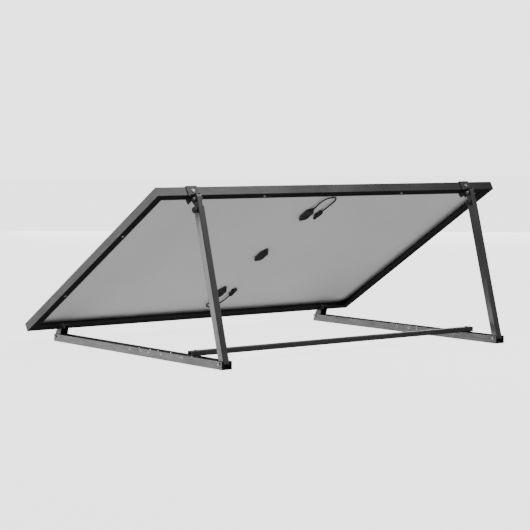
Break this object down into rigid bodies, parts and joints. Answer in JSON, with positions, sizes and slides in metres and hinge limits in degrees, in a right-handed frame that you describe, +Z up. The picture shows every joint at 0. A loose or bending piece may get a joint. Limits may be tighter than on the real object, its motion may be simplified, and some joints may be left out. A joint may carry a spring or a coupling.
{
  "type": "ground-mounted solar panel",
  "caption": "Framed half-cut solar module on tilting ground stands with telescopic rear legs, base rails and a cross brace.",
  "frame": {"origin": "on the ground, under the middle of the object's box", "axes": "+Z up, +X along the module's long side, the sun side faces -Y and +Z"},
  "size_m": [1.722, 1.199, 0.668],
  "materials": {
    "frame": "black anodised, satin",
    "corner_key": "mill finish",
    "glass": "tempered, clear",
    "cells": "dark silicon behind glass",
    "backsheet": "light grey laminate film, satin",
    "seal": "silicone",
    "box": "moulded, fine texture",
    "diode": "tinned",
    "cable": "extruded jacket, satin",
    "stand": "dark anodised, satin",
    "bracket": "dark anodised, satin",
    "cap": "moulded",
    "steel": "plain stainless"
  },
  "bodies": {
    "base": {"base_rail_left": "stand", "base_rail_right": "stand", "brace_plug_left": "cap", "brace_plug_right": "cap", "brace_bolt_left": "steel", "brace_bolt_right": "steel", "foot_bolt_left": "steel", "foot_bolt_right": "steel", "front_pivot_bolt_left": "steel", "front_pivot_bolt_right": "steel", "foot_sleeve_left": "steel", "foot_sleeve_right": "steel", "cross_brace": "stand"},
    "panel": {"frame_low_side": "frame", "frame_high_side": "frame", "frame_end_left": "frame", "frame_end_right": "frame", "corner_key_low_left": "corner_key", "corner_key_low_right": "corner_key", "corner_key_high_left": "corner_key", "corner_key_high_right": "corner_key", "front_glass": "glass", "cell_layer": "cells", "backsheet": "backsheet", "edge_seal": "seal", "junction_box_upper": "box", "junction_box_middle": "box", "junction_box_lower": "box", "junction_lid_upper": "box", "junction_lid_middle": "box", "junction_lid_lower": "box", "lead_gland_upper": "box", "lead_gland_lower": "box", "connector_upper": "box", "connector_lower": "box", "connector_clip_upper": "box", "connector_clip_lower": "box", "bypass_diode_upper": "diode", "bypass_diode_middle": "diode", "bypass_diode_lower": "diode", "lead_upper": "cable", "lead_lower": "cable", "top_bracket_left": "bracket", "top_bracket_right": "bracket", "front_bracket_left": "bracket", "front_bracket_right": "bracket", "top_pivot_bolt_left": "steel", "top_pivot_bolt_right": "steel", "flange_bolt_left": "steel", "flange_bolt_right": "steel", "frame_bolt_left": "steel", "frame_bolt_right": "steel"},
    "leg_left": {"leg_outer_left": "stand"},
    "leg_right": {"leg_outer_right": "stand"},
    "inner_left": {"leg_inner_left": "stand"},
    "inner_right": {"leg_inner_right": "stand"},
    "knob_left": {"leg_knob_left": "cap"},
    "knob_right": {"leg_knob_right": "cap"}
  },
  "joints": [
    {"name": "panel_tilt", "type": "hinge", "parent": "base", "child": "panel", "pos_m": [0, -0.5855, 0.022], "axis": [1, 0, 0], "range_deg": [0, 20]},
    {"name": "leg_swing_left", "type": "hinge", "parent": "base", "child": "leg_left", "pos_m": [0.7, 0.5815, 0.022], "axis": [1, 0, 0], "range_deg": [0, 10]},
    {"name": "leg_extend_left", "type": "slide", "parent": "leg_left", "child": "inner_left", "axis": [0, -0.2664, 0.9639], "range_m": [0, 0.386]},
    {"name": "knob_turn_left", "type": "hinge", "parent": "leg_left", "child": "knob_left", "pos_m": [0.7, 0.42752, 0.57911], "axis": [1, 0, 0], "range_deg": [0, 360]},
    {"name": "leg_swing_right", "type": "hinge", "parent": "base", "child": "leg_right", "pos_m": [-0.7, 0.5815, 0.022], "axis": [1, 0, 0], "range_deg": [0, 10]},
    {"name": "leg_extend_right", "type": "slide", "parent": "leg_right", "child": "inner_right", "axis": [0, -0.2664, 0.9639], "range_m": [0, 0.386]},
    {"name": "knob_turn_right", "type": "hinge", "parent": "leg_right", "child": "knob_right", "pos_m": [-0.7, 0.42752, 0.57911], "axis": [1, 0, 0], "range_deg": [0, 360]}
  ],
  "couplings": [
    {"joint": "leg_swing_left", "follows": "panel_tilt", "ratio": 0.5},
    {"joint": "leg_extend_left", "follows": "panel_tilt", "m_per_rad": 1.098},
    {"joint": "leg_swing_right", "follows": "panel_tilt", "ratio": 0.5},
    {"joint": "leg_extend_right", "follows": "panel_tilt", "m_per_rad": 1.098}
  ]
}
